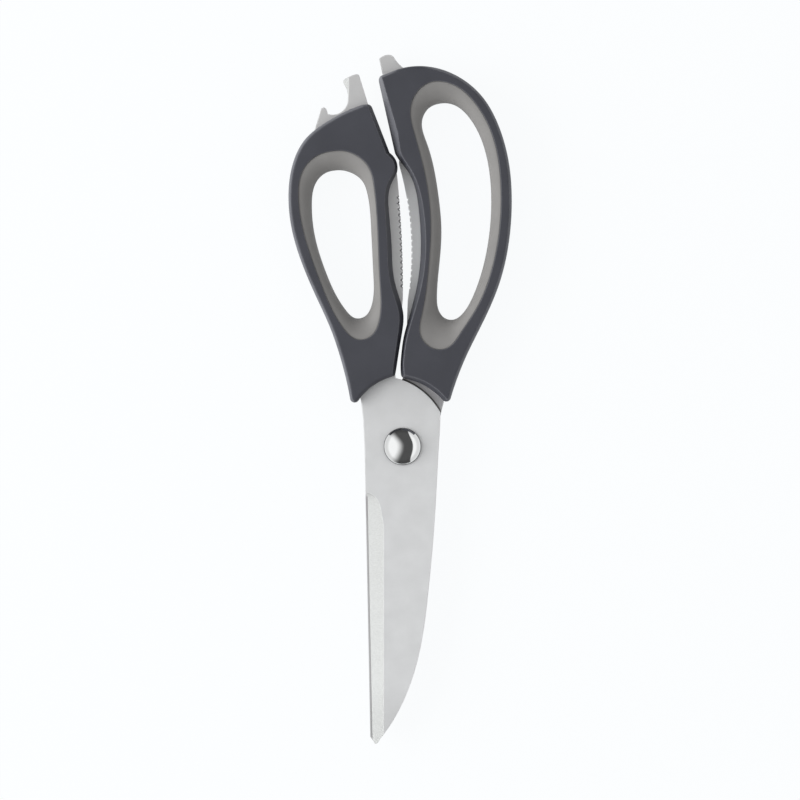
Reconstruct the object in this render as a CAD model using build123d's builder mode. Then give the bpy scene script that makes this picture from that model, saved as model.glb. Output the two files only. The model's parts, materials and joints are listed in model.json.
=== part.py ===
from build123d import *
from math import asin, atan2, cos, degrees, radians, sin
import os

# Kitchen shears lying closed on their back: +Y runs from the blade tips to the handles and
# +Z is up from the table. The origin is on the table, in the middle of the footprint.

# Reaches from the pivot, in the plane of the shears
blade_reach = 105.7
handle_reach = 135.0
shoulder_reach = 24.6
thumb_reach = 40.4
finger_reach = 38.8
lifter_height = 4.2
hook_height = 10.9

# Blades
blade_half_width = 13.2
blade_thickness = 2.5
blade_gap = 0.06
tip_radius = 1.0
tip_run = 2.4
edge_land = 0.25
edge_setback = 0.75
setback_run = 1.6
ricasso_radius = 25.1
ricasso_offset = 8.5
rear_edge_inset = 1.4
bevel_width = 5.4
bevel_tip_width = 3.9
bevel_start = 16.4
plunge_length = 15.0
lip_width = 1.9
lip_depth = 0.8

# Serrated jaws behind the pivot
tooth_count = 16
tooth_corners = 4
tooth_radius = 1.0
tooth_pitch = 2.1
tooth_draft = 11
scallop_radius = 0.85
jaw_lead = 4.45

# Keying holes of the tangs, which the moulding fills
key_hole_radius = 2.4
key_slot_radius = 1.5

# Moulded handles, and how far their collars stay off the round shoulders of the blades
handle_thickness = 13.0
edge_round = 1.2
corner_round = 1.6
rib_height = 7.0
rib_share = 0.42
thumb_collar_gap = 4.0
finger_collar_gap = 3.4

# Sloped inner sides of the handles: where they start off the middle, and how far they lean back
slope_start = 2.6
slope_reach = 2.4

# Soft liners of the finger loops
grip_inset = 0.35
grip_lip_share = 0.93

# Pivot
shank_radius = 3.5
shank_fit = 0.05
flat_width = 5.4
thread_radius = 2.5
head_radius = 6.6
head_rim = 0.5
head_rise = 3.0
washer_radius = 5.6
washer_thickness = 0.5
washer_dish = 0.4
nut_radius = 5.2
nut_height = 1.9
nut_slot_width = 1.2
nut_slot_depth = 0.8
nut_chamfer = 0.5

# Cuts run this far past what they cut
overrun = 2.0

# Places that follow from the sizes
lifter_reach = handle_reach + lifter_height
grip_span = handle_reach - shoulder_reach
pivot_x = (thumb_reach - finger_reach) / 2
pivot_y = (blade_reach - lifter_reach) / 2
mid_level = handle_thickness / 2
front_low = mid_level + blade_gap / 2
front_high = front_low + blade_thickness
rear_high = mid_level - blade_gap / 2
rear_low = rear_high - blade_thickness
pivot_axis = Axis((pivot_x, pivot_y, 0), (0, 0, 1))
pivot_section = Plane(origin=(pivot_x, pivot_y, 0), x_dir=(1, 0, 0), z_dir=(0, -1, 0))


def thumb_at(x_share, y_share):
    """Point of the thumb half: across by the thumb reach, up from the shoulder of the blades."""
    return (pivot_x + thumb_reach * x_share, pivot_y + shoulder_reach + grip_span * y_share)


def finger_at(x_share, y_share):
    """Point of the finger half, in the same way."""
    return (pivot_x + finger_reach * x_share, pivot_y + shoulder_reach + grip_span * y_share)


def blade_at(x_share, y_share):
    """Point of a blade: across by its half width, down from the pivot."""
    return (pivot_x + blade_half_width * x_share, pivot_y - blade_reach * y_share)


def shoulder_at(side, angle, gap):
    """Point a gap off the round shoulder of the front blade (side 1) or of the rear one (side -1)."""
    radius = ricasso_radius + gap
    across = radius * cos(radians(angle)) - ricasso_offset
    return (pivot_x + side * across, pivot_y + radius * sin(radians(angle)))


def along(place, shares):
    """Points of a table of shares, each put in place by the function of its half."""
    return [place(x_share, y_share) for x_share, y_share in shares]


def between(hole_shares, rim_shares, share):
    """Table of shares part of the way from a finger hole to the rim of its liner."""
    pairs = zip(hole_shares, rim_shares)
    return [(hx + (rx - hx) * share, hy + (ry - hy) * share) for (hx, hy), (rx, ry) in pairs]


# Blade outlines, as shares of the half width and of the reach from pivot to tip
spine_shares = [(-0.595, 0.982), (-0.20, 0.911), (0.21, 0.800), (0.50, 0.668), (0.70, 0.487)]
spine_shares += [(0.84, 0.300), (0.925, 0.130), (0.985, -0.010), (1.02, -0.100)]
edge_heel_share = -1.02
edge_tip_share = -0.86

# Round shoulders in degrees above the cross line, low end to high end
front_shoulder_angles = (29, 52, 76)
rear_shoulder_angles = (29, 52, 69)

# Tang of the front blade, inside the thumb handle
front_neck_shares = [(-0.064, 0.049), (-0.037, 0.130), (-0.010, 0.203), (0.004, 0.253)]
front_jaw_shares = [(0.004, 0.253), (-0.003, 0.425), (-0.047, 0.651)]
front_bump_shares = [(-0.047, 0.651), (-0.084, 0.688), (-0.173, 0.724)]
front_tang_shares = [(-0.774, 0.792), (-0.757, 0.766), (-0.681, 0.751), (-0.483, 0.745)]
front_tang_shares += [(-0.312, 0.716), (-0.220, 0.665), (-0.188, 0.574), (-0.171, 0.429)]
front_tang_shares += [(-0.156, 0.275), (-0.168, 0.171), (-0.228, 0.112), (-0.342, 0.078)]
front_tang_shares += [(-0.411, 0.031), (-0.400, -0.023), (-0.370, -0.065), (-0.346, -0.135)]
front_key_shares = [(-0.250, 0.040), (-0.560, 0.790)]
front_slot_shares = [(-0.085, 0.195), (-0.300, 0.780)]

# Bottle opener above the thumb handle, as shares of the thumb reach and of the hook's height
hook_level_share = 0.875
hook_arm_shares = [(-0.379, 0.960), (-0.391, 1.000), (-0.425, 0.990), (-0.473, 0.920)]
hook_arm_shares += [(-0.520, 0.790), (-0.500, 0.610), (-0.480, 0.380)]
notch_shares = [(-0.478, 0.200), (-0.540, -0.230), (-0.655, -0.290)]
prong_shares = [(-0.664, -0.180), (-0.676, -0.100), (-0.713, -0.110)]
lip_shares = [(-0.520, 1.15), (-0.520, 0.30)]

# Tang of the rear blade, inside the finger handle
rear_neck_shares = [(0.031, 0.014), (0.034, 0.085), (0.041, 0.167), (0.049, 0.248)]
rear_jaw_shares = [(0.049, 0.248), (0.082, 0.438), (-0.031, 0.687)]
rear_upper_shares = [(-0.031, 0.687), (-0.031, 0.724), (-0.072, 0.808), (-0.160, 0.937)]
rear_tang_shares = [(0.041, 0.950), (0.023, 0.896), (0.023, 0.846), (0.059, 0.787)]
rear_tang_shares += [(0.119, 0.719), (0.170, 0.642), (0.209, 0.538), (0.214, 0.438)]
rear_tang_shares += [(0.188, 0.321), (0.144, 0.212), (0.116, 0.139), (0.160, 0.088)]
rear_tang_shares += [(0.278, 0.065), (0.392, 0.053), (0.438, 0.017), (0.412, -0.037)]
rear_tang_shares += [(0.374, -0.087)]
rear_key_shares = [(0.230, 0.020), (-0.055, 0.900)]
rear_slot_shares = [(0.045, 0.750)]

# Lid lifter above the finger handle, as shares of the finger reach and of its height
lifter_top_shares = [(-0.212, 0.680), (-0.180, 0.900), (-0.108, 1.000), (-0.080, 0.840)]
lifter_side_shares = [(-0.080, 0.840), (-0.034, 0.260), (0.018, -0.140)]

# Thumb handle
thumb_collar_angles = (66, 45, 25)
thumb_collar_shares = (0.575, 0.94, 1)
thumb_inner_shares = [(-0.057, 0.020), (-0.035, 0.072), (0.000, 0.149), (0.010, 0.198)]
thumb_inner_shares += [(-0.022, 0.251), (-0.072, 0.316), (-0.094, 0.420), (-0.119, 0.538)]
thumb_inner_shares += [(-0.119, 0.594), (-0.084, 0.632), (-0.047, 0.661), (-0.045, 0.685)]
thumb_inner_shares += [(-0.068, 0.705), (-0.112, 0.722)]
thumb_corner_share = (-0.276, 0.877)
thumb_slope_shares = [0.42, 0.46, 0.50, 0.58, 0.63, 0.67, 0.67, 0.63, 0.54, 0.50, 0.46]
thumb_slope_shares += [0.42, 0.42, 0.46, 0.54, 0.54, 0.54]
thumb_knee_share = (-0.170, 0.777)
thumb_outer_shares = [(-0.347, 0.875), (-0.507, 0.852), (-0.681, 0.816), (-0.849, 0.766)]
thumb_outer_shares += [(-0.955, 0.694), (-1.000, 0.588), (-0.970, 0.473), (-0.874, 0.358)]
thumb_outer_shares += [(-0.757, 0.258), (-0.631, 0.156), (-0.552, 0.072), (-0.495, -0.005)]
thumb_rim_shares = [(-0.569, 0.727), (-0.408, 0.713), (-0.295, 0.674), (-0.245, 0.606)]
thumb_rim_shares += [(-0.215, 0.466), (-0.196, 0.303), (-0.203, 0.180), (-0.277, 0.131)]
thumb_rim_shares += [(-0.401, 0.121), (-0.517, 0.156), (-0.715, 0.300), (-0.859, 0.453)]
thumb_rim_shares += [(-0.913, 0.574), (-0.866, 0.669), (-0.748, 0.711)]
thumb_hole_shares = [(-0.569, 0.667), (-0.446, 0.658), (-0.351, 0.631), (-0.309, 0.592)]
thumb_hole_shares += [(-0.275, 0.475), (-0.255, 0.325), (-0.275, 0.227), (-0.327, 0.197)]
thumb_hole_shares += [(-0.408, 0.190), (-0.495, 0.215), (-0.668, 0.334), (-0.767, 0.450)]
thumb_hole_shares += [(-0.797, 0.556), (-0.757, 0.629), (-0.671, 0.659)]

# Finger handle
finger_collar_angles = (71.5, 55, 29.5)
finger_collar_shares = (0.18, 0.56, 1)
finger_inner_shares = [(-0.017, 0.040), (-0.010, 0.075), (0.005, 0.117), (0.052, 0.183)]
finger_inner_shares += [(0.115, 0.264), (0.158, 0.352), (0.168, 0.452), (0.149, 0.543)]
finger_inner_shares += [(0.103, 0.625), (0.046, 0.665), (-0.017, 0.694), (-0.068, 0.722)]
finger_corner_share = (-0.223, 0.964)
finger_slope_shares = [0.50, 0.50, 0.50, 0.42, 0.42, 0.46, 0.50, 0.58, 0.67, 0.70, 0.62]
finger_slope_shares += [0.42, 0.42, 0.54, 0.80, 1.00, 0.50]
finger_knee_share = (-0.105, 0.780)
finger_outer_shares = [(-0.064, 0.986), (0.116, 0.999), (0.312, 0.993)]
finger_outer_shares += [(0.528, 0.962), (0.735, 0.899), (0.884, 0.804), (0.972, 0.692)]
finger_outer_shares += [(1.000, 0.574), (0.979, 0.447), (0.887, 0.301), (0.729, 0.171)]
finger_outer_shares += [(0.582, 0.066), (0.480, -0.025)]
finger_rim_shares = [(0.322, 0.950), (0.503, 0.932), (0.683, 0.871), (0.825, 0.774)]
finger_rim_shares += [(0.894, 0.647), (0.897, 0.511), (0.820, 0.348), (0.678, 0.221)]
finger_rim_shares += [(0.531, 0.141), (0.412, 0.094), (0.273, 0.093), (0.162, 0.135)]
finger_rim_shares += [(0.178, 0.203), (0.237, 0.348), (0.258, 0.488), (0.211, 0.642)]
finger_rim_shares += [(0.108, 0.783), (0.075, 0.867), (0.160, 0.926)]
finger_hole_shares = [(0.351, 0.882), (0.487, 0.875), (0.634, 0.826), (0.737, 0.753)]
finger_hole_shares += [(0.799, 0.656), (0.812, 0.529), (0.755, 0.378), (0.642, 0.257)]
finger_hole_shares += [(0.554, 0.206), (0.472, 0.186), (0.392, 0.190), (0.330, 0.219)]
finger_hole_shares += [(0.317, 0.257), (0.340, 0.366), (0.358, 0.475), (0.330, 0.588)]
finger_hole_shares += [(0.224, 0.755), (0.180, 0.823), (0.240, 0.866)]

# Grinding of the front bevel's start: how far down its plunge, and how wide there
plunge_shares = [(0, 0.04), (0.10, 0.50), (0.32, 0.80), (0.62, 0.95), (1, 1)]

# Rear bevel: its width at each point of the spine table from the tip up, and its end past the tip
rear_bevel_shares = [1.30, 1.10, 1.00, 1.00, 0.92, 0.04]
rear_bevel_end_share = (-0.80, 1.012)

# Where a finger loop's surface lies between its hole and its rim, level by level
flare_level_shares = [0, 0.45, 0.80, 1]
flare_shares = [0, 0.10, 0.42, grip_lip_share]


def hook_at(x_share, h_share):
    """Point of the bottle opener, above the top of the thumb handle."""
    x, y = thumb_at(x_share, hook_level_share)
    return (x, y + hook_height * h_share)


def lifter_at(x_share, h_share):
    """Point of the lid lifter, above the top of the finger handle."""
    x, y = finger_at(x_share, 1)
    return (x, y + lifter_height * h_share)


def shoulder_arc(side, angles, gaps):
    """Three points of an arc round a shoulder of the blades."""
    return [shoulder_at(side, angle, gap) for angle, gap in zip(angles, gaps)]


def jaw_arc(place, shares):
    """Arc on which the tips of a jaw's teeth lie."""
    start, middle, end = along(place, shares)
    return ThreePointArc(start, middle, end, mode=Mode.PRIVATE)


def tooth_places(arc):
    """Place and direction of each gap between two teeth, spaced along a jaw."""
    places = []
    for index in range(tooth_count):
        share = (jaw_lead + tooth_pitch * index) / arc.length
        point = arc @ share
        heading = arc % share
        turn = degrees(atan2(heading.Y, heading.X))
        places.append(Location((point.X, point.Y, 0), (0, 0, turn)))
    return places


def edge_x(drop):
    """Straight left side of both blades, at a distance below the pivot."""
    share = edge_heel_share + (edge_tip_share - edge_heel_share) * drop / blade_reach
    return pivot_x + blade_half_width * share


def front_outline():
    """Front blade, from the tip up its spine, round the shoulder and up the tang to the opener."""
    spine = along(blade_at, spine_shares)
    heel = blade_at(edge_heel_share, 0)
    ground_from = (edge_x(bevel_start), pivot_y - bevel_start)
    ground_to = (edge_x(bevel_start + setback_run) + edge_setback, pivot_y - bevel_start - setback_run)
    tip_edge = (edge_x(blade_reach - tip_run) + edge_setback, pivot_y - blade_reach + tip_run)
    tip_end = (edge_x(blade_reach) + edge_setback + tip_radius, pivot_y - blade_reach)
    shoulder = shoulder_arc(1, front_shoulder_angles, (0, 0, 0))
    neck = along(thumb_at, front_neck_shares)
    jaw = along(thumb_at, front_jaw_shares)
    bump = along(thumb_at, front_bump_shares)
    arm = along(hook_at, hook_arm_shares)
    notch = along(hook_at, notch_shares)
    prong = along(hook_at, prong_shares)
    tang = along(thumb_at, front_tang_shares)
    with BuildSketch() as sketch:
        with BuildLine():
            Spline(spine + shoulder[:1])
            ThreePointArc(*shoulder)
            Spline(shoulder[-1:] + neck)
            ThreePointArc(*jaw)
            Spline(bump)
            Line(bump[-1], arm[0])
            Spline(arm + notch[:1])
            ThreePointArc(*notch)
            Spline(notch[-1:] + prong)
            Line(prong[-1], tang[0])
            Spline(tang + [heel])
            Polyline([heel, ground_from, ground_to, tip_edge])
            Spline([tip_edge, tip_end, spine[0]])
        make_face()
    return sketch.sketch


def rear_edge():
    """Points of the rear blade's cutting edge, from past the tip up to where it is ground."""
    edge = [(x - rear_edge_inset, y) for x, y in along(blade_at, spine_shares[1:-2])]
    return along(blade_at, [rear_bevel_end_share]) + edge


def rear_outline():
    """Rear blade, from the tip up its cutting edge, up the tang to the lifter and back down."""
    edge = rear_edge()[1:]
    heel = along(blade_at, spine_shares[-2:])
    tip_low = (edge_x(blade_reach - tip_radius) + tip_radius, pivot_y - blade_reach + tip_radius)
    tip_side = (edge_x(blade_reach - tip_run), pivot_y - blade_reach + tip_run)
    spine_top = blade_at(edge_heel_share, 0)
    shoulder = shoulder_arc(-1, rear_shoulder_angles, (0, 0, 0))
    neck = along(finger_at, rear_neck_shares)
    jaw = along(finger_at, rear_jaw_shares)
    upper = along(finger_at, rear_upper_shares)
    lifter = along(lifter_at, lifter_top_shares)
    side = along(lifter_at, lifter_side_shares)
    tang = along(finger_at, rear_tang_shares)
    with BuildSketch() as sketch:
        with BuildLine():
            Spline([tip_low] + edge + heel + tang[::-1])
            Line(tang[0], side[-1])
            ThreePointArc(*side)
            Spline(lifter)
            Line(lifter[0], upper[-1])
            Spline(upper[::-1])
            ThreePointArc(*jaw)
            Spline(neck[::-1] + shoulder[-1:])
            ThreePointArc(*shoulder[::-1])
            Polyline([shoulder[0], spine_top, tip_side, tip_low])
        make_face()
    return sketch.sketch


def thumb_collar():
    """Three points of the thumb handle's end, from its inner side out."""
    gaps = [thumb_collar_gap * share for share in thumb_collar_shares]
    return shoulder_arc(-1, thumb_collar_angles, gaps)


def finger_collar():
    """Three points of the finger handle's end, from its inner side out."""
    gaps = [finger_collar_gap * share for share in finger_collar_shares]
    return shoulder_arc(1, finger_collar_angles, gaps)


def finger_outline():
    """Finger handle seen from above, its end curved round the shoulder of the front blade."""
    inner = along(finger_at, finger_inner_shares)
    corner = finger_at(*finger_corner_share)
    outer = along(finger_at, finger_outer_shares)
    collar = finger_collar()
    with BuildSketch() as sketch:
        with BuildLine():
            Spline(collar[:1] + inner)
            Line(inner[-1], corner)
            Line(corner, outer[0])
            Spline(outer + collar[-1:])
            ThreePointArc(*collar)
        make_face()
        for sharp in (collar[0], corner, collar[-1]):
            fillet(sketch.vertices().sort_by_distance(sharp)[0], corner_round)
    return sketch.sketch


def square_to(start, end):
    """Direction square to a line, on its right-hand side."""
    heading = (Vector(end) - Vector(start)).normalized()
    return Vector(heading.Y, -heading.X)


def set_back(points, shares, reach):
    """Points of a line, each moved square to it by its share of a reach, with square corners."""
    moved = []
    for index, share in enumerate(shares):
        near = min(max(index, 1), len(points) - 1)
        far = min(index + 1, len(points) - 1)
        first = square_to(points[near - 1], points[near])
        second = square_to(points[far - 1], points[far])
        step = (first + second) * (reach * share / (1 + first.dot(second)))
        moved.append((points[index][0] + step.X, points[index][1] + step.Y))
    return moved


def past(start, end, distance):
    """Point past the end of a line."""
    place = Vector(end) + (Vector(end) - Vector(start)).normalized() * distance
    return (place.X, place.Y)


def slope_region(line, side, curved_parts):
    """Everything on one side of a handle's inner side: left of it (side -1) or right of it (1)."""
    high = past(line[-2], line[-1], corner_round + overrun)
    low = past(line[1], line[0], corner_round + overrun)
    out = high[0] + side * thumb_reach
    with BuildSketch() as sketch:
        with BuildLine():
            for part in curved_parts:
                Spline(line[part])
            Polyline([line[-3], line[-2], high, (out, high[1]), (out, low[1]), low, line[0]])
        make_face()
    return sketch.sketch


def slope_regions(path, shares, side, curved_parts, up):
    """Foot and top of the slope that leans back a handle's inner side, above (up 1) or below (-1)."""
    regions = []
    height = mid_level - slope_start
    for level in (0, height + overrun):
        line = set_back(path, shares, -side * slope_reach * level / height)
        plane = Plane.XY.offset(mid_level + up * (slope_start + level))
        regions.append(plane * slope_region(line, side, curved_parts))
    return regions


def thumb_outline():
    """Thumb handle seen from above, with its lobe beside the blade and its stop bump."""
    inner = along(thumb_at, thumb_inner_shares)
    outer = along(thumb_at, thumb_outer_shares)
    corner = thumb_at(*thumb_corner_share)
    collar = thumb_collar()
    with BuildSketch() as sketch:
        with BuildLine():
            Spline(collar[:1] + inner)
            Line(inner[-1], corner)
            Line(corner, outer[0])
            Spline(outer + collar[-1:])
            ThreePointArc(*collar)
        make_face()
        for sharp in (collar[0], corner, collar[-1]):
            fillet(sketch.vertices().sort_by_distance(sharp)[0], corner_round)
    return sketch.sketch


def grip_loop(loop, share):
    """Closed loop between a finger hole (share 0) and the rim of its liner (share 1)."""
    place, hole_shares, rim_shares = loop
    with BuildSketch() as sketch:
        with BuildLine():
            Spline(along(place, between(hole_shares, rim_shares, share)), periodic=True)
        make_face()
    return sketch.sketch


def rib_ring(loop):
    """Section of the rib that a liner wraps, from the liner's rim towards the hole."""
    with BuildSketch() as sketch:
        add(grip_loop(loop, 1))
        add(grip_loop(loop, rib_share), mode=Mode.SUBTRACT)
    return sketch.sketch


def flare_loops(loop, side):
    """Loops of a finger room that widens from the middle to the top (side 1) or the back (-1)."""
    loops = []
    for level_share, share in zip(flare_level_shares, flare_shares):
        level = mid_level + side * (mid_level - grip_inset) * level_share
        loops.append(Plane.XY.offset(level) * grip_loop(loop, share))
    return loops


def wedge(drop, edge, width, depth, face, up):
    """Wedge ground off a blade, a distance below the pivot, from its outer face down to an edge."""
    inward = 1 if width > 0 else -1
    lift = overrun * depth / abs(width)
    inner = (edge + width + inward * overrun, face + up * lift)
    outer = (edge - inward * overrun, face + up * lift)
    low = (edge - inward * overrun, face - up * (depth + lift))
    with BuildSketch(Plane.XZ.offset(drop - pivot_y)) as sketch:
        Polygon(inner, outer, low, align=None)
    return sketch.sketch


bevel_depth = blade_thickness - edge_land
thumb_loop = (thumb_at, thumb_hole_shares, thumb_rim_shares)
finger_loop = (finger_at, finger_hole_shares, finger_rim_shares)
rib_plane = Plane.XY.offset(mid_level - rib_height / 2)

# Inner sides of the handles from the collar up, which the slopes follow
thumb_path = thumb_collar()[:1] + along(thumb_at, thumb_inner_shares)
thumb_path += along(thumb_at, [thumb_knee_share, thumb_corner_share])
finger_path = finger_collar()[::-1] + along(finger_at, finger_inner_shares)
finger_path += along(finger_at, [finger_knee_share, finger_corner_share])

with BuildPart() as front_blade:
    with BuildSketch(Plane.XY.offset(front_low)):
        add(front_outline())
        with Locations((pivot_x, pivot_y)):
            Circle(shank_radius + shank_fit, mode=Mode.SUBTRACT)
        with Locations(*along(thumb_at, front_key_shares)):
            Circle(key_hole_radius, mode=Mode.SUBTRACT)
        with Locations(*along(thumb_at, front_slot_shares)):
            Circle(key_slot_radius, mode=Mode.SUBTRACT)
    extrude(amount=blade_thickness)
    # Teeth ground from the outer face, so each gap narrows towards the inner one
    with BuildSketch(Plane.XY.offset(front_high)):
        with Locations(*tooth_places(jaw_arc(thumb_at, front_jaw_shares))):
            RegularPolygon(tooth_radius, tooth_corners)
    extrude(amount=-blade_thickness, taper=tooth_draft, mode=Mode.SUBTRACT)
    # Plunge where the grinding starts, then the long bevel to the tip
    for drop_share, width_share in plunge_shares:
        drop = bevel_start + plunge_length * drop_share
        edge = edge_x(drop) + edge_setback
        add(wedge(drop, edge, bevel_width * width_share, bevel_depth * width_share, front_high, 1))
    loft(mode=Mode.SUBTRACT)
    bevel_ends = ((bevel_start + plunge_length, bevel_width), (blade_reach + overrun, bevel_tip_width))
    for drop, width in bevel_ends:
        add(wedge(drop, edge_x(drop) + edge_setback, width, bevel_depth, front_high, 1))
    loft(mode=Mode.SUBTRACT)
    # Lip of the bottle opener's arm, ground thinner to slip under a cap
    for edge, level in along(hook_at, lip_shares):
        add(wedge(pivot_y - level, edge, lip_width, lip_depth, front_high, 1))
    loft(mode=Mode.SUBTRACT)
front_blade.part.label = "front_blade"

with BuildPart() as rear_blade:
    with BuildSketch(Plane.XY.offset(rear_low)):
        add(rear_outline())
        with Locations((pivot_x, pivot_y)):
            Circle(shank_radius, mode=Mode.SUBTRACT)
        with Locations(*along(finger_at, rear_key_shares)):
            Circle(key_hole_radius, mode=Mode.SUBTRACT)
        with Locations(*along(finger_at, rear_slot_shares)):
            Circle(key_slot_radius, mode=Mode.SUBTRACT)
    extrude(amount=blade_thickness)
    # Flats of the pivot hole, which hold the bolt
    with BuildSketch(Plane.XY.offset(rear_low)):
        with Locations((pivot_x, pivot_y)):
            Circle(shank_radius)
            Rectangle(shank_radius + shank_radius, flat_width, mode=Mode.SUBTRACT)
    extrude(amount=blade_thickness)
    # Scallops of the other jaw, ground from the rear face
    with BuildSketch(Plane.XY.offset(rear_low)):
        with Locations(*tooth_places(jaw_arc(finger_at, rear_jaw_shares))):
            Circle(scallop_radius)
    extrude(amount=blade_thickness, taper=tooth_draft, mode=Mode.SUBTRACT)
    # Bevel of the rear face, along the curved cutting edge
    for (edge, level), share in zip(rear_edge(), [rear_bevel_shares[0]] + rear_bevel_shares):
        depth = bevel_depth * min(share, 1)
        add(wedge(pivot_y - level, edge, -bevel_tip_width * share, depth, rear_low, -1))
    loft(mode=Mode.SUBTRACT)
rear_blade.part.label = "rear_blade"

with BuildPart() as thumb_handle:
    with BuildSketch():
        add(thumb_outline())
    extrude(amount=handle_thickness)
    levels = thumb_handle.edges().group_by(Axis.Z)
    fillet(levels[0] + levels[-1], edge_round)
    for up in (1, -1):
        loft(slope_regions(thumb_path, thumb_slope_shares, 1, [slice(0, -2)], up), mode=Mode.SUBTRACT)
    with BuildSketch():
        add(grip_loop(thumb_loop, 1))
    extrude(amount=handle_thickness, mode=Mode.SUBTRACT)
    with BuildSketch(rib_plane):
        add(rib_ring(thumb_loop))
    extrude(amount=rib_height)
    add(front_blade.part, mode=Mode.SUBTRACT)
thumb_handle.part.label = "thumb_handle"

with BuildPart() as finger_handle:
    with BuildSketch():
        add(finger_outline())
    extrude(amount=handle_thickness)
    levels = finger_handle.edges().group_by(Axis.Z)
    fillet(levels[0] + levels[-1], edge_round)
    parts = [slice(0, 3), slice(2, -2)]
    for up in (1, -1):
        loft(slope_regions(finger_path, finger_slope_shares, -1, parts, up), mode=Mode.SUBTRACT)
    with BuildSketch():
        add(grip_loop(finger_loop, 1))
    extrude(amount=handle_thickness, mode=Mode.SUBTRACT)
    with BuildSketch(rib_plane):
        add(rib_ring(finger_loop))
    extrude(amount=rib_height)
    add(rear_blade.part, mode=Mode.SUBTRACT)
finger_handle.part.label = "finger_handle"

with BuildPart() as thumb_grip:
    with BuildSketch(Plane.XY.offset(grip_inset)):
        add(grip_loop(thumb_loop, 1))
    extrude(amount=handle_thickness - grip_inset - grip_inset)
    with BuildSketch(rib_plane):
        add(rib_ring(thumb_loop))
    extrude(amount=rib_height, mode=Mode.SUBTRACT)
    for side in (1, -1):
        loft(flare_loops(thumb_loop, side), mode=Mode.SUBTRACT)
thumb_grip.part.label = "thumb_grip"

with BuildPart() as finger_grip:
    with BuildSketch(Plane.XY.offset(grip_inset)):
        add(grip_loop(finger_loop, 1))
    extrude(amount=handle_thickness - grip_inset - grip_inset)
    with BuildSketch(rib_plane):
        add(rib_ring(finger_loop))
    extrude(amount=rib_height, mode=Mode.SUBTRACT)
    for side in (1, -1):
        loft(flare_loops(finger_loop, side), mode=Mode.SUBTRACT)
finger_grip.part.label = "finger_grip"

# Heights of the pivot, and the ball that its domed head is cut from
bolt_tip = rear_low - washer_thickness - washer_dish - nut_height
head_seat = front_high + blade_gap
head_edge = head_seat + head_rim
head_top = head_edge + head_rise
dome_radius = (head_radius**2 + head_rise**2) / (head_rise + head_rise)
dome_angle = asin(head_radius / dome_radius) / 2
dome_middle = (dome_radius * sin(dome_angle), head_top - dome_radius + dome_radius * cos(dome_angle))

with BuildPart() as pivot_bolt:
    with BuildSketch(pivot_section):
        with BuildLine():
            Polyline([(0, head_top), (0, bolt_tip), (thread_radius, bolt_tip), (thread_radius, rear_low)])
            Polyline([(thread_radius, rear_low), (shank_radius, rear_low), (shank_radius, head_seat)])
            Polyline([(shank_radius, head_seat), (head_radius, head_seat), (head_radius, head_edge)])
            ThreePointArc((head_radius, head_edge), dome_middle, (0, head_top))
        make_face()
    revolve(axis=pivot_axis)
    # Flats that lock the bolt in the rear blade
    with BuildSketch(Plane.XY.offset(rear_low)):
        with Locations((pivot_x, pivot_y)):
            Circle(shank_radius)
            Rectangle(shank_radius + shank_radius, flat_width, mode=Mode.SUBTRACT)
    extrude(amount=blade_thickness, mode=Mode.SUBTRACT)
pivot_bolt.part.label = "pivot_bolt"

with BuildPart() as spring_washer:
    with BuildSketch(pivot_section):
        with Locations((0, rear_low)):
            Polygon(
                (washer_radius, 0),
                (thread_radius + shank_fit, -washer_dish),
                (thread_radius + shank_fit, -washer_dish - washer_thickness),
                (washer_radius, -washer_thickness),
                align=None,
            )
    revolve(axis=pivot_axis)
spring_washer.part.label = "spring_washer"

with BuildPart() as pivot_nut:
    with BuildSketch(Plane.XY.offset(bolt_tip)):
        with Locations((pivot_x, pivot_y)):
            Circle(nut_radius)
            Circle(thread_radius, mode=Mode.SUBTRACT)
    extrude(amount=nut_height)
    chamfer(pivot_nut.edges().group_by(Axis.Z)[0].sort_by(SortBy.LENGTH)[-1], nut_chamfer)
    with BuildSketch(Plane.XY.offset(bolt_tip)):
        with Locations((pivot_x, pivot_y)):
            Rectangle(nut_radius + nut_radius, nut_slot_width)
    extrude(amount=nut_slot_depth, mode=Mode.SUBTRACT)
pivot_nut.part.label = "pivot_nut"

blades = (front_blade, rear_blade)
loops = (thumb_handle, finger_handle, thumb_grip, finger_grip)
pivot = (pivot_bolt, spring_washer, pivot_nut)
os.makedirs("parts", exist_ok=True)
for piece in blades + loops + pivot:
    export_step(piece.part, f"parts/{piece.part.label}.step")
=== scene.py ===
import json

import bmesh
import bpy
from bpy.props import FloatProperty, FloatVectorProperty, PointerProperty
from bpy.types import Operator, Panel, PropertyGroup
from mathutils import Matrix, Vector


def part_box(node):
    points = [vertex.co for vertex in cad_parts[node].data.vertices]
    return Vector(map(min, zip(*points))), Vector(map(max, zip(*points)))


bl_info = {
    "name": "Kitchen shears finishes",
    "version": (1, 0, 0),
    "blender": (4, 5, 0),
    "location": "View3D > Sidebar > Shears",
    "description": "Finishes a pair of kitchen shears and lights it for a picture",
    "category": "Object",
}

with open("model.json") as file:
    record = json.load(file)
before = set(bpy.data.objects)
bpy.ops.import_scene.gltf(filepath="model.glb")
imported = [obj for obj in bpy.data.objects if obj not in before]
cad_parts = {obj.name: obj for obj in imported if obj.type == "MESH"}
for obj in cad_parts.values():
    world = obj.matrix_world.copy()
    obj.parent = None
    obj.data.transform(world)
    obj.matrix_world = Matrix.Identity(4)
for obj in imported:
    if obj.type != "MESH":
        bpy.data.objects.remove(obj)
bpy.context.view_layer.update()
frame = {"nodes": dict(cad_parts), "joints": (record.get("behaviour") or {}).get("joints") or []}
NODES = frame["nodes"]
MM = 0.001

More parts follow.
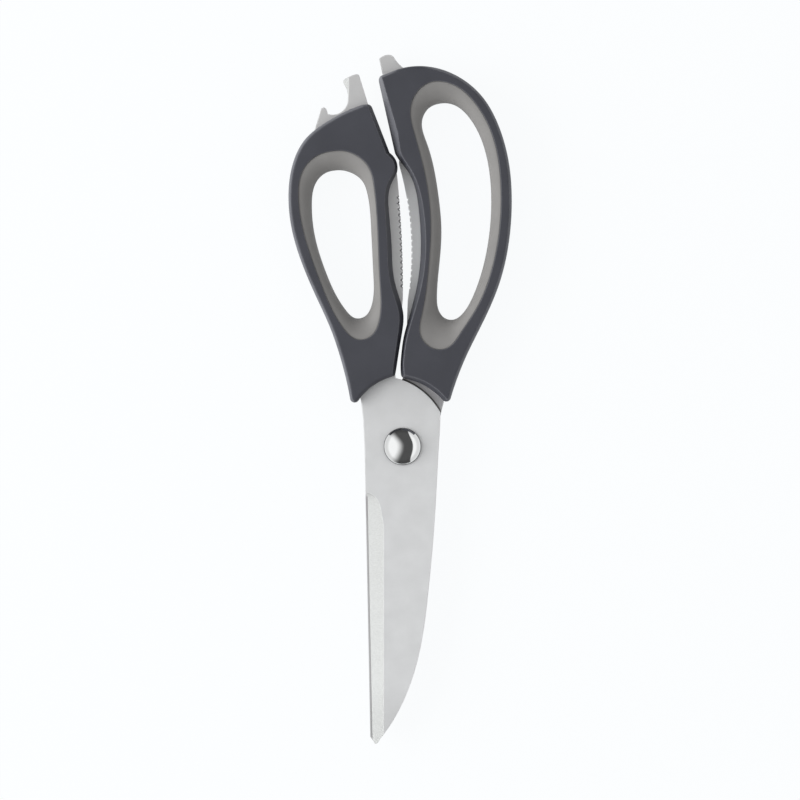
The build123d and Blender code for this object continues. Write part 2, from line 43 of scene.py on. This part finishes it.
# Middle of the pivot, radius of its head, and level of the front blade's outer face, in metres
PIVOT = Vector(frame["joints"][0]["pos_m"])
BOLT_LOW, BOLT_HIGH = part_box("pivot_bolt")
HEAD_RADIUS = (BOLT_HIGH.x - BOLT_LOW.x) / 2
FRONT_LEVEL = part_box("front_blade")[1].z

# Level of the mould's parting line on the handles, half its width and how far it stands up, and
# how deep the moulded grain is
HANDLE_MIDDLE = sum(corner.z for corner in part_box("thumb_handle")) / 2
PARTING_WIDTH = 0.15 * MM
PARTING_HEIGHT = 0.08 * MM
GRAIN_DEPTH = 0.03 * MM

# Round shoulder of the front blade, about a centre left of the pivot
SHOULDER_OFFSET = 8.5 * MM
SHOULDER_RADIUS = 25.1 * MM

# Cutting side of the blades: how far left of the pivot it starts, how much it leans in on its
# way to the tip, and how far below the pivot the grinding begins
EDGE_OFFSET = 13.46 * MM
EDGE_LEAN = 0.02
GRIND_START = 16.4 * MM

# Steel from the far end of the tangs to the tips, which are darker: lengths from the pivot
TANG_LENGTH = 125 * MM
TIP_START = 84 * MM
TIP_END = 98 * MM

# Ring round the pivot, darker partly as an oily mark where the blades rub and partly as painted shade
# of the front blade's shoulder: its soft inner and outer borders
RING_INNER = (17.5 * MM, 21.5 * MM)
RING_OUTER = (30 * MM, 26.5 * MM)

# Radius at which the tumbling of the blades leaves their edges, and at which the grinding does
TUMBLED_EDGE = 0.5 * MM
GROUND_EDGE = 0.25 * MM

# How level a face is, from 0 for a wall to 1 for a flat face, where a finish starts and is full
BEVEL_TOP = (0.995, 0.97)
BEVEL_FOOT = (0.5, 0.7)
STAMPED_WALL = (0.5, 0.2)
ROUND_TOP = (0.999, 0.93)
ROUND_FOOT = (0.02, 0.3)


# Sizes and colours a user would change

class SteelLooks(PropertyGroup):
    """Finish of the blades and of the pivot"""

    blade_colour: FloatVectorProperty(
        name="Blade colour",
        description="Colour of the satin steel towards the tips",
        subtype="COLOR",
        default=(0.865, 0.875, 0.882),
    )
    # The tang colour is partly tumbled steel and partly painted shade of the handles and of light
    # falling off towards them
    tang_colour: FloatVectorProperty(
        name="Tang colour",
        description="Colour of the tumbled steel behind the pivot",
        subtype="COLOR",
        default=(0.71, 0.71, 0.71),
    )
    ground_colour: FloatVectorProperty(
        name="Ground colour",
        description="Colour of the ground bevels",
        subtype="COLOR",
        default=(0.61, 0.622, 0.614),
    )
    wall_colour: FloatVectorProperty(
        name="Wall colour",
        description="Colour of the stamped outer walls of the blades",
        subtype="COLOR",
        default=(0.50, 0.50, 0.50),
    )
    # The rub mark colour is partly an oily mark and partly painted shade of the front blade's shoulder
    rub_mark_and_shade_colour: FloatVectorProperty(
        name="Rub mark colour",
        description="Colour of the oily mark where the blades turn on each other",
        subtype="COLOR",
        default=(0.75, 0.745, 0.76),
    )
    head_colour: FloatVectorProperty(
        name="Pivot head colour",
        description="Colour of the polished head of the pivot",
        subtype="COLOR",
        default=(0.80, 0.81, 0.81),
    )
    # Painted contact shadow where the blades meet, along the shoulder and the cutting edge
    contact_shade_colour: FloatVectorProperty(
        name="Residue colour",
        description="Colour of what gathers where the blades meet",
        subtype="COLOR",
        default=(0.15, 0.14, 0.14),
    )
    nut_colour: FloatVectorProperty(
        name="Nut colour",
        description="Colour of the plated nut on the back",
        subtype="COLOR",
        default=(0.66, 0.65, 0.63),
    )
    washer_colour: FloatVectorProperty(
        name="Washer colour",
        description="Colour of the spring washer below the nut",
        subtype="COLOR",
        default=(0.42, 0.415, 0.41),
    )
    satin_metal: FloatProperty(
        name="Satin metal",
        description="Share of the light that the satin steel mirrors: its fine grain scatters the rest",
        subtype="FACTOR",
        default=0.5,
        min=0.0,
        max=1.0,
    )
    satin_roughness: FloatProperty(
        name="Satin roughness",
        description="Roughness of the satin faces",
        subtype="FACTOR",
        default=0.66,
        min=0.0,
        max=1.0,
    )


class HandleLooks(PropertyGroup):
    """Finish of the handles and of their soft liners"""

    handle_colour: FloatVectorProperty(
        name="Handle colour",
        description="Colour of the hard moulded handles",
        subtype="COLOR",
        default=(0.053, 0.055, 0.067),
    )
    # The edge colour is a painted highlight where light catches the handles' edges
    edge_highlight_colour: FloatVectorProperty(
        name="Worn edge colour",
        description="Colour of the handles where their edges are rubbed",
        subtype="COLOR",
        default=(0.15, 0.153, 0.17),
    )
    liner_colour: FloatVectorProperty(
        name="Liner colour",
        description="Colour of the soft liners of the finger loops",
        subtype="COLOR",
        default=(0.235, 0.23, 0.225),
    )
    handle_grain: FloatProperty(
        name="Handle grain",
        description="Size of the spark-eroded grain of the handles",
        subtype="DISTANCE",
        unit="LENGTH",
        default=0.4 * MM,
        min=0.05 * MM,
    )
    liner_grain: FloatProperty(
        name="Liner grain",
        description="Size of the fine grain of the soft liners",
        subtype="DISTANCE",
        unit="LENGTH",
        default=0.3 * MM,
        min=0.05 * MM,
    )


class StudioLooks(PropertyGroup):
    """Lights, floor and camera"""

    camera_height: FloatProperty(
        name="Camera height",
        description="Height of the camera above the floor",
        subtype="DISTANCE",
        unit="LENGTH",
        default=1.6,
        min=0.2,
    )
    view_width: FloatProperty(
        name="View width",
        description="Width of the picture at the level of the blades",
        subtype="DISTANCE",
        unit="LENGTH",
        default=0.2841,
        min=0.05,
    )
    key_power: FloatProperty(
        name="Key power",
        description="Power of the large low lamp on the left, in watts",
        default=23.0,
        min=0.0,
    )
    sky_level: FloatProperty(
        name="Sky level",
        description="Level of the soft light from all round",
        subtype="FACTOR",
        default=0.65,
        min=0.0,
        max=2.0,
    )


# Shader helpers

class NodeBench:
    """Adds nodes to one tree and joins them, left to right."""

    def __init__(self, tree):
        self.tree = tree
        self.count = 0

    def add(self, kind, inputs=None, **settings):
        node = self.tree.nodes.new(kind)
        node.location = (self.count % 9 * 200 - 1800, self.count // 9 * -260)
        self.count += 1
        for key, value in settings.items():
            setattr(node, key, value)
        for key, value in (inputs or {}).items():
            self.feed(node, key, value)
        return node

    def feed(self, node, key, value):
        if isinstance(value, bpy.types.NodeSocket):
            self.tree.links.new(value, node.inputs[key])
        else:
            node.inputs[key].default_value = value

    def math(self, operation, *values, clamp=False):
        inputs = dict(enumerate(values))
        return self.add("ShaderNodeMath", inputs, operation=operation, use_clamp=clamp).outputs[0]

    def ramp(self, value, start, end, low=0.0, high=1.0):
        """A smooth step from low to high, as the value goes from start to end."""
        ends = {"Value": value, "From Min": start, "From Max": end, "To Min": low, "To Max": high}
        return self.add("ShaderNodeMapRange", ends, interpolation_type="SMOOTHSTEP").outputs["Result"]

    def blend(self, factor, first, second):
        """One of two colours, or between them."""
        inputs = {0: factor, 6: paint(first), 7: paint(second)}
        return self.add("ShaderNodeMix", inputs, data_type="RGBA").outputs[2]

    def product(self, first, *others):
        """All the values multiplied with each other."""
        for value in others:
            first = self.math("MULTIPLY", first, value)
        return first

    def scaled(self, colour, shade):
        """A colour made lighter or darker."""
        inputs = {0: colour, 3: shade}
        return self.add("ShaderNodeVectorMath", inputs, operation="SCALE").outputs[0]

    def distance(self, place, x, y):
        """Distance of a place from an upright axis."""
        across = self.math("SUBTRACT", place["X"], x)
        along = self.math("SUBTRACT", place["Y"], y)
        squares = self.math("ADD", self.product(across, across), self.product(along, along))
        return self.math("SQRT", squares)

    def split(self, vector):
        return self.add("ShaderNodeSeparateXYZ", {0: vector}).outputs


def paint(colour):
    """A colour with its alpha, or the socket that it comes from."""
    return colour if isinstance(colour, bpy.types.NodeSocket) else (*colour, 1.0)


def open_effect(name, inputs, outputs):
    """A new shader node group with its sockets, and the nodes at its two ends."""
    tree = bpy.data.node_groups.new(name, "ShaderNodeTree")
    for label, default in inputs.items():
        socket = tree.interface.new_socket(label, in_out="INPUT", socket_type="NodeSocketFloat")
        socket.default_value = default
    for label, kind in outputs.items():
        tree.interface.new_socket(label, in_out="OUTPUT", socket_type="NodeSocket" + kind)
    bench = NodeBench(tree)
    return bench, bench.add("NodeGroupInput").outputs, bench.add("NodeGroupOutput")


def clouds_effect():
    """Slow uneven blotches, from 0 to 1."""
    bench, given, end = open_effect("slow_clouds", {"Size": 10 * MM}, {"Value": "Float"})
    place = bench.add("ShaderNodeTexCoord").outputs["Object"]
    scale = bench.math("DIVIDE", 1.0, given["Size"])
    noise = bench.add("ShaderNodeTexNoise", {"Vector": place, "Scale": scale, "Detail": 3.0})
    ends = {"Value": noise.outputs[0], "From Min": 0.3, "From Max": 0.7}
    bench.feed(end, "Value", bench.add("ShaderNodeMapRange", ends).outputs[0])
    return bench.tree


def grain_effect():
    """Height of a fine moulded grain: soft bumps with finer roughness on them."""
    bench, given, end = open_effect("moulded_grain", {"Size": 0.4 * MM}, {"Height": "Float"})
    place = bench.add("ShaderNodeTexCoord").outputs["Object"]
    scale = bench.math("DIVIDE", 1.0, given["Size"])
    bumps = bench.add("ShaderNodeTexVoronoi", {"Vector": place, "Scale": scale}, feature="SMOOTH_F1")
    noise = bench.add("ShaderNodeTexNoise", {"Vector": place, "Scale": scale, "Detail": 3.0})
    height = bench.math("MULTIPLY_ADD", bumps.outputs["Distance"], 0.6, noise.outputs[0])
    bench.feed(end, "Height", height)
    return bench.tree


def edge_effect():
    """Where a surface turns over an edge, broken up a little, and its rounded normal."""
    sockets = {"Radius": 0.5 * MM, "Gain": 4.0}
    bench, given, end = open_effect("edge_highlight_and_round", sockets, {"Mask": "Float", "Normal": "Vector"})
    place = bench.add("ShaderNodeTexCoord").outputs["Object"]
    rounded = bench.add("ShaderNodeBevel", {"Radius": given["Radius"]}, samples=6).outputs[0]
    flat = bench.add("ShaderNodeNewGeometry").outputs["Normal"]
    turned = bench.add("ShaderNodeVectorMath", {0: rounded, 1: flat}, operation="DOT_PRODUCT")
    edge = bench.math("SUBTRACT", 1.0, turned.outputs["Value"])
    noise = bench.add("ShaderNodeTexNoise", {"Vector": place, "Scale": 700.0, "Detail": 2.0})
    broken = bench.product(edge, bench.ramp(noise.outputs[0], 0.3, 0.6, 0.5, 1.0))
    bench.feed(end, "Mask", bench.math("MULTIPLY", broken, given["Gain"], clamp=True))
    bench.feed(end, "Normal", rounded)
    return bench.tree


def lines_effect():
    """Fine lines left by grinding or brushing, across the blades."""
    sockets = {"Length": 15 * MM, "Width": 0.25 * MM}
    bench, given, end = open_effect("grinding_lines", sockets, {"Height": "Float"})
    place = bench.split(bench.add("ShaderNodeTexCoord").outputs["Object"])
    slow = bench.math("DIVIDE", place["X"], given["Length"])
    quick = [bench.math("DIVIDE", place[axis], given["Width"]) for axis in ("Y", "Z")]
    joined = bench.add("ShaderNodeCombineXYZ", {0: slow, 1: quick[0], 2: quick[1]}).outputs[0]
    noise = bench.add("ShaderNodeTexNoise", {"Vector": joined, "Scale": 1.0, "Detail": 2.0})
    bench.feed(end, "Height", noise.outputs[0])
    return bench.tree


EFFECTS = {
    "slow_clouds": clouds_effect,
    "moulded_grain": grain_effect,
    "edge_highlight_and_round": edge_effect,
    "grinding_lines": lines_effect,
}


def effect(bench, name, **values):
    """Place a shared effect in a material, with its own values."""
    tree = bpy.data.node_groups.get(name) or EFFECTS[name]()
    node = bench.add("ShaderNodeGroup", node_tree=tree)
    for key, value in values.items():
        bench.feed(node, key.capitalize(), value)
    return node.outputs


def new_material(name):
    """An empty material with its bench and its main shader, joined to the output."""
    material = bpy.data.materials.new(name)
    material.use_nodes = True
    material.node_tree.nodes.clear()
    bench = NodeBench(material.node_tree)
    shader = bench.add("ShaderNodeBsdfPrincipled")
    bench.add("ShaderNodeOutputMaterial", {"Surface": shader.outputs["BSDF"]})
    return material, bench, shader


def finish(bench, shader, normal, *layers):
    """Bumps over each other: each layer has a height, a depth in metres and a strength."""
    for height, depth, strength in layers:
        inputs = {"Height": height, "Distance": depth, "Strength": strength, "Normal": normal}
        normal = bench.add("ShaderNodeBump", inputs).outputs["Normal"]
    bench.feed(shader, "Normal", normal)


def dress(names, material):
    """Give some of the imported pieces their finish."""
    for name in names:
        piece = NODES[name]
        piece.data.materials.clear()
        piece.data.materials.append(material)


# Finishes

def painted_contact_shade(bench, place):
    """Where painted shade darkens a blade's inner face: a painted contact shadow along the other's
    shoulder and cutting edge.
    """
    from_centre = bench.distance(place, PIVOT.x - SHOULDER_OFFSET, PIVOT.y)
    starts = bench.ramp(from_centre, SHOULDER_RADIUS, SHOULDER_RADIUS + 0.1 * MM)
    ends = bench.ramp(from_centre, SHOULDER_RADIUS + 0.8 * MM, SHOULDER_RADIUS + 0.3 * MM)
    behind = bench.ramp(place["Y"], PIVOT.y + 8 * MM, PIVOT.y + 14 * MM)
    shoulder = bench.product(starts, ends, behind)
    # The cutting edge runs straight from beside the pivot and leans in towards the tip
    drop = bench.math("SUBTRACT", PIVOT.y, place["Y"])
    from_edge = bench.math("MULTIPLY_ADD", drop, -EDGE_LEAN, place["X"])
    edge = PIVOT.x - EDGE_OFFSET
    beside = bench.ramp(from_edge, edge + 1.1 * MM, edge + 0.7 * MM, 0.0, 0.42)
    ahead = bench.ramp(drop, GRIND_START, GRIND_START + 2 * MM)
    return bench.math("MAXIMUM", shoulder, bench.product(beside, ahead))


def satin_steel(name, inner_side, blade_from):
    """Blade steel: satin faces, ground bevels, stamped walls, and the rub mark of the turning blades,
    partly painted shade.

    The inner side faces up (1) or down (-1), and the full blade colour starts at a distance
    from the pivot, towards the handles.
    """
    looks = bpy.context.scene.shears_steel
    material, bench, shader = new_material(name)
    where = bench.add("ShaderNodeTexCoord").outputs
    place = bench.split(where["Object"])
    upward = bench.split(where["Normal"])["Z"]
    level = bench.math("ABSOLUTE", upward)
    slope = bench.product(bench.ramp(level, *BEVEL_TOP), bench.ramp(level, *BEVEL_FOOT))
    wall = bench.ramp(level, *STAMPED_WALL)
    inner = bench.ramp(bench.product(upward, inner_side), 0.5, 0.9)
    lines = effect(bench, "grinding_lines")["Height"]
    clouds = effect(bench, "slow_clouds", size=6 * MM)["Value"]
    # Edges are broken by tumbling, apart from the ground ones
    across = bench.math("SUBTRACT", place["X"], PIVOT.x)
    spine = bench.ramp(bench.product(across, -inner_side), 0.0, 5 * MM)
    blunt = bench.math("MAXIMUM", spine, bench.ramp(place["Y"], PIVOT.y - 12 * MM, PIVOT.y))
    radius = bench.math("MULTIPLY_ADD", blunt, TUMBLED_EDGE - GROUND_EDGE, GROUND_EDGE)
    edges = effect(bench, "edge_highlight_and_round", radius=radius)
    # Painted highlight: a bright line where a ground bevel turns into the flat face
    turned = bench.math("ABSOLUTE", bench.split(edges["Normal"])["Z"])
    bent = bench.math("ABSOLUTE", bench.math("SUBTRACT", turned, level))
    painted_ridge_highlight = bench.product(bench.ramp(bent, 0.0004, 0.0025), bench.ramp(turned, 0.93, 0.95))
    # The tumbled tang turns into the finer ground blade past the pivot; its darker colour is also
    # painted shade of the handles and of light falling off towards them
    forward = bench.ramp(place["Y"], PIVOT.y + TANG_LENGTH, PIVOT.y + blade_from)
    colour = bench.blend(forward, looks.tang_colour, looks.blade_colour)
    # Painted shade: a ring on the inner face, partly an oily rub mark and partly the shade of the front
    # blade's shoulder
    reach = bench.distance(place, PIVOT.x, PIVOT.y)
    rub_mark_and_shade = bench.product(bench.ramp(reach, *RING_INNER), bench.ramp(reach, *RING_OUTER))
    colour = bench.blend(bench.product(rub_mark_and_shade, inner), colour, looks.rub_mark_and_shade_colour)
    # Painted contact shadow along the other blade's shoulder and cutting edge
    contact_shade = bench.product(painted_contact_shade(bench, place), inner)
    colour = bench.blend(contact_shade, colour, looks.contact_shade_colour)
    colour = bench.blend(slope, colour, looks.ground_colour)
    colour = bench.blend(wall, colour, looks.wall_colour)
    # Blotches all over, streaks on the ground faces, darker tips and a painted highlight along the
    # ridges
    shade = bench.math("MULTIPLY_ADD", clouds, 0.05, 0.95)
    streaks = bench.product(slope, bench.math("SUBTRACT", lines, 0.5))
    shade = bench.math("MULTIPLY_ADD", streaks, 0.35, shade)
    shade = bench.math("MULTIPLY_ADD", painted_ridge_highlight, 0.3, shade)
    tip = bench.ramp(place["Y"], PIVOT.y - TIP_START, PIVOT.y - TIP_END, 1.0, 0.91)
    bench.feed(shader, "Base Color", bench.scaled(colour, bench.product(shade, tip)))
    # Blotches and lines change the gloss a little, and the ground faces are glossier
    rough = bench.math("MULTIPLY_ADD", clouds, 0.06, looks.satin_roughness - 0.03)
    rough = bench.math("MULTIPLY_ADD", slope, -0.26, rough)
    rough = bench.math("MULTIPLY_ADD", lines, 0.08, rough)
    bench.feed(shader, "Roughness", rough)
    bench.feed(shader, "Metallic", looks.satin_metal)
    strength = bench.math("MULTIPLY_ADD", slope, 0.3, 0.1)
    finish(bench, shader, edges["Normal"], (lines, 0.02 * MM, strength))
    return material


def polished_steel():
    """Head of the pivot: bright polish with hairlines, and a painted contact shadow round its edge."""
    looks = bpy.context.scene.shears_steel
    material, bench, shader = new_material("polished_steel")
    place = bench.split(bench.add("ShaderNodeTexCoord").outputs["Object"])
    reach = bench.distance(place, PIVOT.x, PIVOT.y)
    rim_shadow = bench.ramp(reach, HEAD_RADIUS * 0.955, HEAD_RADIUS * 0.99)
    clouds = effect(bench, "slow_clouds", size=1.5 * MM)["Value"]
    lines = effect(bench, "grinding_lines", length=3 * MM, width=0.08 * MM)["Height"]
    edges = effect(bench, "edge_highlight_and_round", radius=0.2 * MM)
    # A painted contact shadow darkens the head towards its edge
    bench.feed(shader, "Base Color", bench.blend(rim_shadow, looks.head_colour, (0.08, 0.08, 0.08)))
    rough = bench.math("MULTIPLY_ADD", clouds, 0.05, 0.05)
    bench.feed(shader, "Roughness", bench.math("MULTIPLY_ADD", rim_shadow, 0.2, rough))
    bench.feed(shader, "Metallic", 1.0)
    finish(bench, shader, edges["Normal"], (lines, 0.004 * MM, 0.1))
    return material


def plated_steel(name, colour, roughness):
    """Turned and plated small steel: rings of the lathe, blotches of the plating."""
    material, bench, shader = new_material(name)
    place = bench.add("ShaderNodeTexCoord").outputs["Object"]
    centred = bench.add("ShaderNodeVectorMath", {0: place, 1: PIVOT}, operation="SUBTRACT").outputs[0]
    turning = {"Vector": centred, "Scale": 600.0, "Distortion": 0.6}
    rings = bench.add("ShaderNodeTexWave", turning, wave_type="RINGS", rings_direction="Z")
    clouds = effect(bench, "slow_clouds", size=2 * MM)["Value"]
    edges = effect(bench, "edge_highlight_and_round", radius=0.2 * MM)
    shade = bench.math("MULTIPLY_ADD", clouds, 0.15, 0.85)
    bench.feed(shader, "Base Color", bench.scaled(colour, shade))
    bench.feed(shader, "Roughness", bench.math("MULTIPLY_ADD", clouds, 0.1, roughness))
    bench.feed(shader, "Metallic", 1.0)
    finish(bench, shader, edges["Normal"], (rings.outputs["Fac"], 0.01 * MM, 0.2))
    return material


def handle_plastic():
    """Hard moulding: fine spark grain, painted highlights along its edges, faint uneven gloss."""
    looks = bpy.context.scene.shears_handles
    material, bench, shader = new_material("handle_plastic")
    grain = effect(bench, "moulded_grain", size=looks.handle_grain)["Height"]
    clouds = effect(bench, "slow_clouds", size=12 * MM)["Value"]
    edges = effect(bench, "edge_highlight_and_round", radius=0.6 * MM, gain=9.0)
    # The two halves of the mould leave a fine raised line half way up the walls
    where = bench.add("ShaderNodeTexCoord").outputs
    place = bench.split(where["Object"])
    off_line = bench.math("ABSOLUTE", bench.math("SUBTRACT", place["Z"], HANDLE_MIDDLE))
    parting = bench.ramp(off_line, PARTING_WIDTH, 0.0)
    # Painted highlight: the outer rounded edges, which the other handle doesn't shield, are painted
    # paler, unevenly, as light from the side catches them
    facing = bench.split(where["Normal"])
    level = bench.math("ABSOLUTE", facing["Z"])
    rounded = bench.product(bench.ramp(level, *ROUND_TOP), bench.ramp(level, *ROUND_FOOT))
    outward = bench.product(bench.math("SUBTRACT", place["X"], PIVOT.x), facing["X"])
    patchy = bench.math("MULTIPLY_ADD", clouds, 0.3, 0.6)
    painted_outer_sheen = bench.product(rounded, bench.ramp(outward, 0.0, 1 * MM), patchy)
    # Painted highlight on the sharp edges and on the outer rounded edges
    painted_edge_highlight = bench.math("MAXIMUM", edges["Mask"], painted_outer_sheen)
    colour = bench.blend(painted_edge_highlight, looks.handle_colour, looks.edge_highlight_colour)
    shade = bench.math("MULTIPLY_ADD", clouds, 0.12, 0.94)
    bench.feed(shader, "Base Color", bench.scaled(colour, shade))
    bench.feed(shader, "Roughness", bench.math("MULTIPLY_ADD", clouds, 0.08, 0.38))
    layers = ((grain, GRAIN_DEPTH, 0.25), (parting, PARTING_HEIGHT, 0.6))
    finish(bench, shader, edges["Normal"], *layers)
    return material


def liner_rubber():
    """Soft liner: matt, with a finer grain and a painted highlight along its edges."""
    looks = bpy.context.scene.shears_handles
    material, bench, shader = new_material("liner_rubber")
    grain = effect(bench, "moulded_grain", size=looks.liner_grain)["Height"]
    clouds = effect(bench, "slow_clouds", size=8 * MM)["Value"]
    edges = effect(bench, "edge_highlight_and_round", radius=0.4 * MM, gain=1.0)
    shade = bench.math("MULTIPLY_ADD", clouds, 0.10, 0.95)
    # Painted highlight along the liner's edges
    shade = bench.math("MULTIPLY_ADD", edges["Mask"], 0.15, shade)
    bench.feed(shader, "Base Color", bench.scaled(looks.liner_colour, shade))
    bench.feed(shader, "Roughness", bench.math("MULTIPLY_ADD", clouds, 0.08, 0.58))
    finish(bench, shader, edges["Normal"], (grain, GRAIN_DEPTH, 0.25))
    return material


class SHEARS_OT_blades(Operator):
    """Finish both blades in satin steel"""

    bl_idname = "shears.blades"
    bl_label = "Blades"

    def execute(self, context):
        front = satin_steel("front_steel", inner_side=-1.0, blade_from=-35 * MM)
        rear = satin_steel("rear_steel", inner_side=1.0, blade_from=70 * MM)
        dress(["front_blade"], front)
        dress(["rear_blade"], rear)
        return {"FINISHED"}


class SHEARS_OT_pivot(Operator):
    """Finish the bolt, its washer and its nut"""

    bl_idname = "shears.pivot"
    bl_label = "Pivot"

    def execute(self, context):
        looks = context.scene.shears_steel
        dress(["pivot_bolt"], polished_steel())
        dress(["pivot_nut"], plated_steel("plated_nut", looks.nut_colour, 0.28))
        dress(["spring_washer"], plated_steel("spring_steel", looks.washer_colour, 0.35))
        return {"FINISHED"}


class SHEARS_OT_handles(Operator):
    """Finish both hard handles"""

    bl_idname = "shears.handles"
    bl_label = "Handles"

    def execute(self, context):
        dress(["thumb_handle", "finger_handle"], handle_plastic())
        return {"FINISHED"}


class SHEARS_OT_liners(Operator):
    """Finish the soft liners of both finger loops"""

    bl_idname = "shears.liners"
    bl_label = "Liners"

    def execute(self, context):
        dress(["thumb_grip", "finger_grip"], liner_rubber())
        return {"FINISHED"}


# Stage

# Brightness that steel mirrors in the studio: the bright wall on the left, the dark gap beside
# the camera, and the wall on the right, each less towards the floor
LEFT_WALL = 1.12
DARK_GAP = 0.09
RIGHT_WALL = 1.02
NEAR_FLOOR = 0.75

# Colours of the floor where it is lit, and where it is seen or mirrored, and half its side
FLOOR_COLOUR = (0.93, 0.94, 0.95, 1)
BACKDROP_COLOUR = (0.975, 0.99, 1.0, 1)
FLOOR_REACH = 4.0

# Size and place of the large low lamp on the left
LAMP_SIZE = (1.4, 0.9)
LAMP_PLACE = (-1.3, 0.0, 0.62)


def seen_directly(bench):
    """1 for what the camera, a mirror or a glass shows, 0 for what only lights."""
    ray = bench.add("ShaderNodeLightPath").outputs
    seen = bench.math("MAXIMUM", ray["Is Camera Ray"], ray["Is Glossy Ray"])
    return bench.math("MAXIMUM", seen, ray["Is Transmission Ray"])


def make_floor():
    """Pale floor with no visible edge, as a sheet of paper in a studio."""
    mesh = bpy.data.meshes.new("floor")
    shape = bmesh.new()
    bmesh.ops.create_grid(shape, x_segments=1, y_segments=1, size=FLOOR_REACH)
    shape.to_mesh(mesh)
    shape.free()
    floor = bpy.data.objects.new("floor", mesh)
    bpy.context.scene.collection.objects.link(floor)
    material, bench, shader = new_material("pale_floor")
    bench.feed(shader, "Base Color", FLOOR_COLOUR)
    bench.feed(shader, "Roughness", 0.9)
    bench.feed(shader, "Specular IOR Level", 0.1)
    glow = bench.add("ShaderNodeEmission", {"Color": BACKDROP_COLOUR, "Strength": 1.0})
    # The small share that is left is lit, and keeps the shadow of the shears
    share = bench.product(seen_directly(bench), 0.95)
    mixer = bench.add("ShaderNodeMixShader", {0: share, 1: shader.outputs[0], 2: glow.outputs[0]})
    end = material.node_tree.nodes["Material Output"]
    bench.feed(end, "Surface", mixer.outputs[0])
    mesh.materials.append(material)


def make_world(sky_level):
    """Even soft light, with the walls of a studio where steel mirrors them."""
    world = bpy.data.worlds.new("studio_air")
    world.use_nodes = True
    bench = NodeBench(world.node_tree)
    way = bench.split(bench.add("ShaderNodeTexCoord").outputs["Generated"])
    ahead = bench.math("POWER", bench.math("MAXIMUM", way["Y"], 0.0), 2.0)
    behind = bench.math("POWER", bench.math("MAXIMUM", bench.product(way["Y"], -1.0), 0.0), 2.0)
    # The gap curves to the left at both ends, more so at its soft left side
    curved = bench.math("MULTIPLY_ADD", behind, 0.4, way["X"])
    soft_side = bench.math("MULTIPLY_ADD", ahead, 0.8, curved)
    hard_side = bench.math("MULTIPLY_ADD", ahead, 0.5, curved)
    left = bench.ramp(soft_side, -0.53, 0.22, LEFT_WALL, DARK_GAP)
    right = bench.ramp(hard_side, 0.76, 0.80, 0.0, RIGHT_WALL)
    low = bench.ramp(way["Z"], 0.2, 0.45, NEAR_FLOOR, 1.0)
    light = bench.product(bench.math("ADD", left, right), low)
    ray = bench.add("ShaderNodeLightPath").outputs
    mirrored = bench.blend(ray["Is Glossy Ray"], (sky_level,) * 3, light)
    shown = bench.math("MAXIMUM", ray["Is Camera Ray"], ray["Is Transmission Ray"])
    air = world.node_tree.nodes["Background"]
    bench.feed(air, "Color", bench.blend(shown, mirrored, (1, 1, 1)))
    bpy.context.scene.world = world


def make_lamp(name, power, size, place):
    """Soft lamp that faces the middle of the shears, and isn't mirrored in the steel."""
    data = bpy.data.lights.new(name, "AREA")
    data.energy = power
    data.shape = "RECTANGLE"
    data.size, data.size_y = size
    lamp = bpy.data.objects.new(name, data)
    lamp.location = place
    lamp.rotation_euler = (-Vector(place)).to_track_quat("-Z", "Y").to_euler()
    lamp.visible_glossy = False
    bpy.context.scene.collection.objects.link(lamp)


def make_camera(height, view_width):
    """Camera that looks straight down, as the photo does."""
    data = bpy.data.cameras.new("photo_camera")
    data.sensor_width = 36.0
    data.lens = data.sensor_width * (height - FRONT_LEVEL) / view_width
    data.clip_start = 0.05
    data.clip_end = 20
    camera = bpy.data.objects.new("photo_camera", data)
    camera.location = (-0.05 * MM, -0.24 * MM, height)
    bpy.context.scene.collection.objects.link(camera)
    bpy.context.scene.camera = camera


class SHEARS_OT_stage(Operator):
    """Make the floor, the light and the camera above the shears"""

    bl_idname = "shears.stage"
    bl_label = "Stage"

    def execute(self, context):
        looks = context.scene.shears_studio
        make_floor()
        make_world(looks.sky_level)
        make_lamp("key_lamp", looks.key_power, LAMP_SIZE, LAMP_PLACE)
        make_camera(looks.camera_height, looks.view_width)
        context.scene.view_settings.view_transform = "Standard"
        return {"FINISHED"}


class SHEARS_PT_panel(Panel):
    """Lists the steps that finish the shears"""

    bl_idname = "SHEARS_PT_panel"
    bl_label = "Kitchen shears"
    bl_space_type = "VIEW_3D"
    bl_region_type = "UI"
    bl_category = "Shears"

    def draw(self, context):
        scene = context.scene
        for group in (scene.shears_steel, scene.shears_handles, scene.shears_studio):
            box = self.layout.box()
            for name in group.__annotations__:
                box.prop(group, name)
        for operator in STEPS:
            self.layout.operator(operator.bl_idname)


GROUPS = {"shears_steel": SteelLooks, "shears_handles": HandleLooks, "shears_studio": StudioLooks}
STEPS = (SHEARS_OT_blades, SHEARS_OT_pivot, SHEARS_OT_handles, SHEARS_OT_liners, SHEARS_OT_stage)


def register():
    for kind in (*GROUPS.values(), *STEPS, SHEARS_PT_panel):
        bpy.utils.register_class(kind)
    for name, kind in GROUPS.items():
        setattr(bpy.types.Scene, name, PointerProperty(type=kind))


def unregister():
    for name in GROUPS:
        delattr(bpy.types.Scene, name)
    for kind in reversed((*GROUPS.values(), *STEPS, SHEARS_PT_panel)):
        bpy.utils.unregister_class(kind)


def main():
    register()
    bpy.ops.shears.blades()
    bpy.ops.shears.pivot()
    bpy.ops.shears.handles()
    bpy.ops.shears.liners()
    bpy.ops.shears.stage()


if __name__ == "__main__":
    main()
